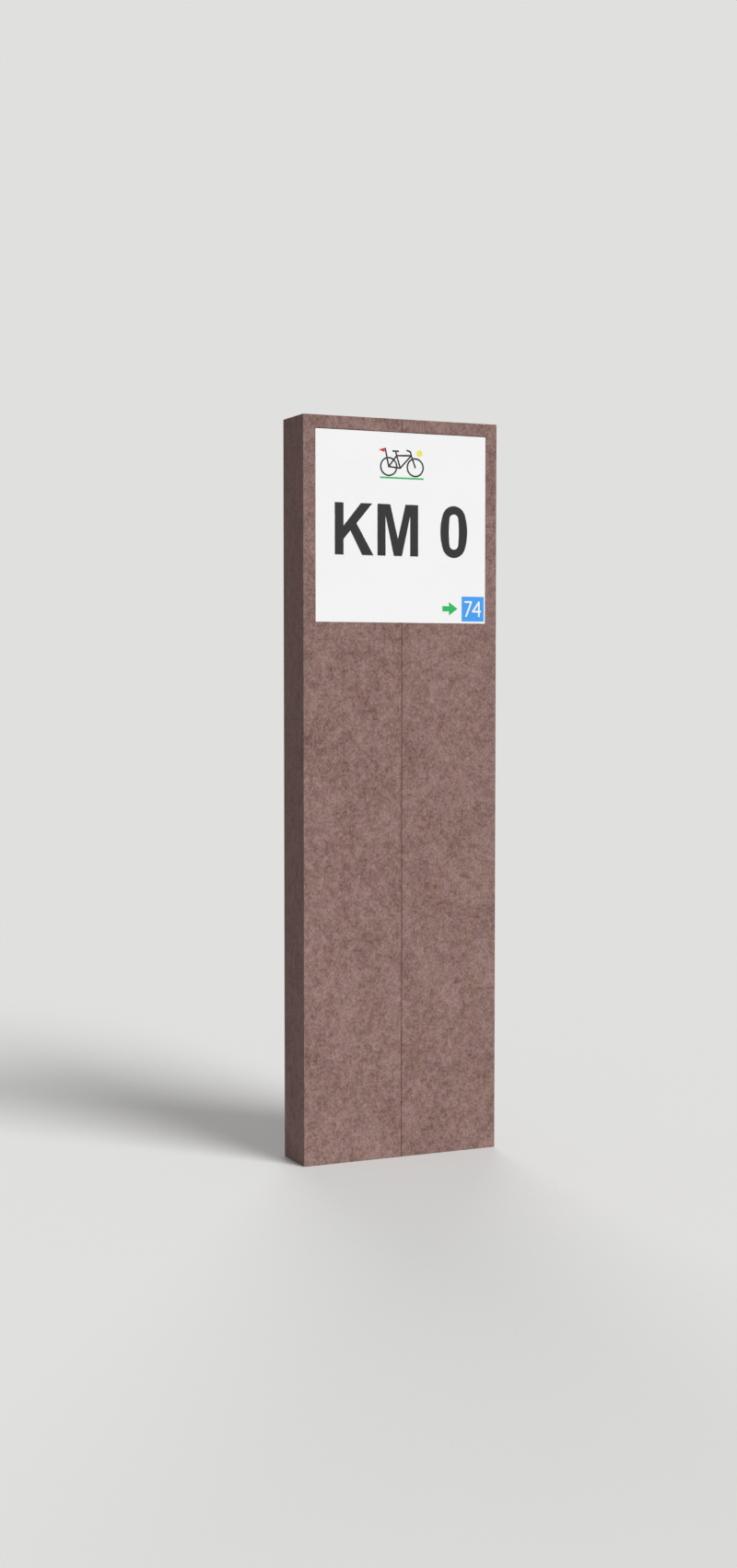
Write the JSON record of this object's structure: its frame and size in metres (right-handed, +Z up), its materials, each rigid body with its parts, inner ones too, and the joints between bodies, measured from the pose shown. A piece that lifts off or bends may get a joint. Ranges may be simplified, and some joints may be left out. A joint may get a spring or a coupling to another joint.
{
  "type": "distance marker post",
  "caption": "Upright brown slab post of joined planks, with a flush white distance plate near the top and threaded sockets in its underside.",
  "frame": {"origin": "on the ground, under the joint between the planks, midway between the planks' front and back faces", "axes": "+Z up; -Y towards the viewer of the sign plate; +X to the viewer's right"},
  "size_m": [0.402, 0.0987, 1.4],
  "materials": {
    "plank": "matte",
    "steel": "satin",
    "plate_white": "satin",
    "foam_tape": "matte",
    "film_grey": "satin",
    "film_blue": "satin",
    "film_white": "satin",
    "film_green": "satin",
    "film_red": "satin",
    "film_yellow": "satin"
  },
  "bodies": {
    "root": {"left_plank": "plank", "right_plank": "plank", "dowel_1": "steel", "dowel_2": "steel", "dowel_3": "steel", "dowel_4": "steel", "dowel_5": "steel", "anchor_socket_1": "steel", "anchor_socket_2": "steel", "anchor_socket_3": "steel", "anchor_socket_4": "steel", "sign_plate": "plate_white", "tape_strip_1": "foam_tape", "tape_strip_2": "foam_tape", "tape_strip_3": "foam_tape", "tape_strip_4": "foam_tape", "letter_k": "film_grey", "letter_m": "film_grey", "digit_zero": "film_grey", "route_panel": "film_blue", "route_digit_7": "film_white", "route_digit_4": "film_white", "direction_arrow": "film_green", "bicycle_symbol": "film_grey", "pennant": "film_red", "sun_disc": "film_yellow", "ground_line": "film_green"}
  },
  "joints": []
}
